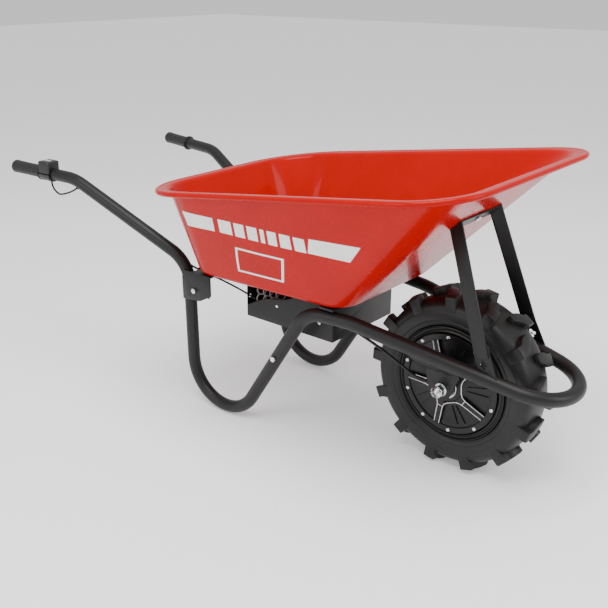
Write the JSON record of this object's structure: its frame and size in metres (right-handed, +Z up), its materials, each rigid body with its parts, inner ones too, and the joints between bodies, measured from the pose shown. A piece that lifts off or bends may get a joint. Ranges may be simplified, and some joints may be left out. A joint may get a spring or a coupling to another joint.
{
  "type": "power wheelbarrow",
  "caption": "Power wheelbarrow: steel pan on a bent-tube frame with twin handles and a hub-motor front wheel, battery box under the pan and a twist throttle.",
  "frame": {"origin": "on the ground, midway along the overall length and width", "axes": "+X forward, towards the wheel; +Y to the operator's left; +Z up"},
  "size_m": [1.5592, 0.6772, 0.7121],
  "materials": {
    "red_enamel": "gloss",
    "black_powder_coat": "satin",
    "tyre_rubber": "matte",
    "grip_rubber": "matte",
    "cable_sheath": "satin",
    "loom_sleeve": "satin",
    "black_plastic": "matte",
    "display_glass": "gloss",
    "circuit_board": "satin",
    "motor_black": "gloss",
    "machined_alloy": "machined",
    "copper_wire": "enamelled",
    "plain_steel": "plain",
    "zinc_plated": "zinc plated"
  },
  "bodies": {
    "chassis": {"axle": "machined_alloy", "axle_nuts": "zinc_plated", "axle_washers": "zinc_plated", "battery_box": "black_powder_coat", "battery_pack": "black_plastic", "box_rivets": "zinc_plated", "cable_connectors": "black_plastic", "cable_grommet": "cable_sheath", "clamp_bolts": "zinc_plated", "clamp_bracket_left": "black_powder_coat", "clamp_bracket_right": "black_powder_coat", "clamp_nuts": "zinc_plated", "control_cable": "cable_sheath", "cross_strap": "black_powder_coat", "display_board": "circuit_board", "display_lens": "display_glass", "dropout_left": "black_powder_coat", "dropout_right": "black_powder_coat", "front_loop": "black_powder_coat", "grip_left": "grip_rubber", "handle_leg_left": "black_powder_coat", "handle_leg_right": "black_powder_coat", "housing_screws": "zinc_plated", "joint_bolts": "zinc_plated", "joint_nuts": "zinc_plated", "motor_cable": "cable_sheath", "motor_controller": "machined_alloy", "stator_coils": "copper_wire", "stator_core": "plain_steel", "strut_bolt": "zinc_plated", "strut_bracket_left": "black_powder_coat", "strut_bracket_right": "black_powder_coat", "strut_nut": "zinc_plated", "throttle_clamp": "black_plastic", "throttle_housing": "black_plastic", "tray": "red_enamel", "tray_bolts_front": "zinc_plated", "tray_bolts_rear": "zinc_plated", "tray_nuts_front": "zinc_plated", "tray_nuts_rear": "zinc_plated", "tray_strut": "black_powder_coat", "wiring_loom": "loom_sleeve"},
    "wheel": {"tyre": "tyre_rubber", "rim": "motor_black", "motor_cover_left": "motor_black", "motor_cover_right": "motor_black", "cover_screws_left": "zinc_plated", "cover_screws_right": "zinc_plated", "rotor_magnets": "plain_steel", "wheel_bearings": "plain_steel", "hub_discs": "machined_alloy", "valve_stem": "zinc_plated"},
    "throttle": {"throttle_grip": "grip_rubber"},
    "power_key": {"power_button": "black_plastic"},
    "direction_key": {"direction_button": "black_plastic"}
  },
  "joints": [
    {"name": "wheel_spin", "type": "hinge", "parent": "chassis", "child": "wheel", "pos_m": [0.495, 0, 0.2104], "axis": [0, 1, 0], "continuous": true},
    {"name": "throttle_twist", "type": "hinge", "parent": "chassis", "child": "throttle", "pos_m": [-0.72294, -0.27929, 0.56608], "axis": [0.9922, 0.1198, -0.0342], "range_deg": [0, 60], "stiffness_Nm_per_rad": 0.15},
    {"name": "power_press", "type": "slide", "parent": "chassis", "child": "power_key", "axis": [0.1198, -0.9928, 0], "range_m": [0, 0.0015], "stiffness_N_per_m": 400},
    {"name": "direction_press", "type": "slide", "parent": "chassis", "child": "direction_key", "axis": [0.1198, -0.9928, 0], "range_m": [0, 0.0015], "stiffness_N_per_m": 400}
  ]
}
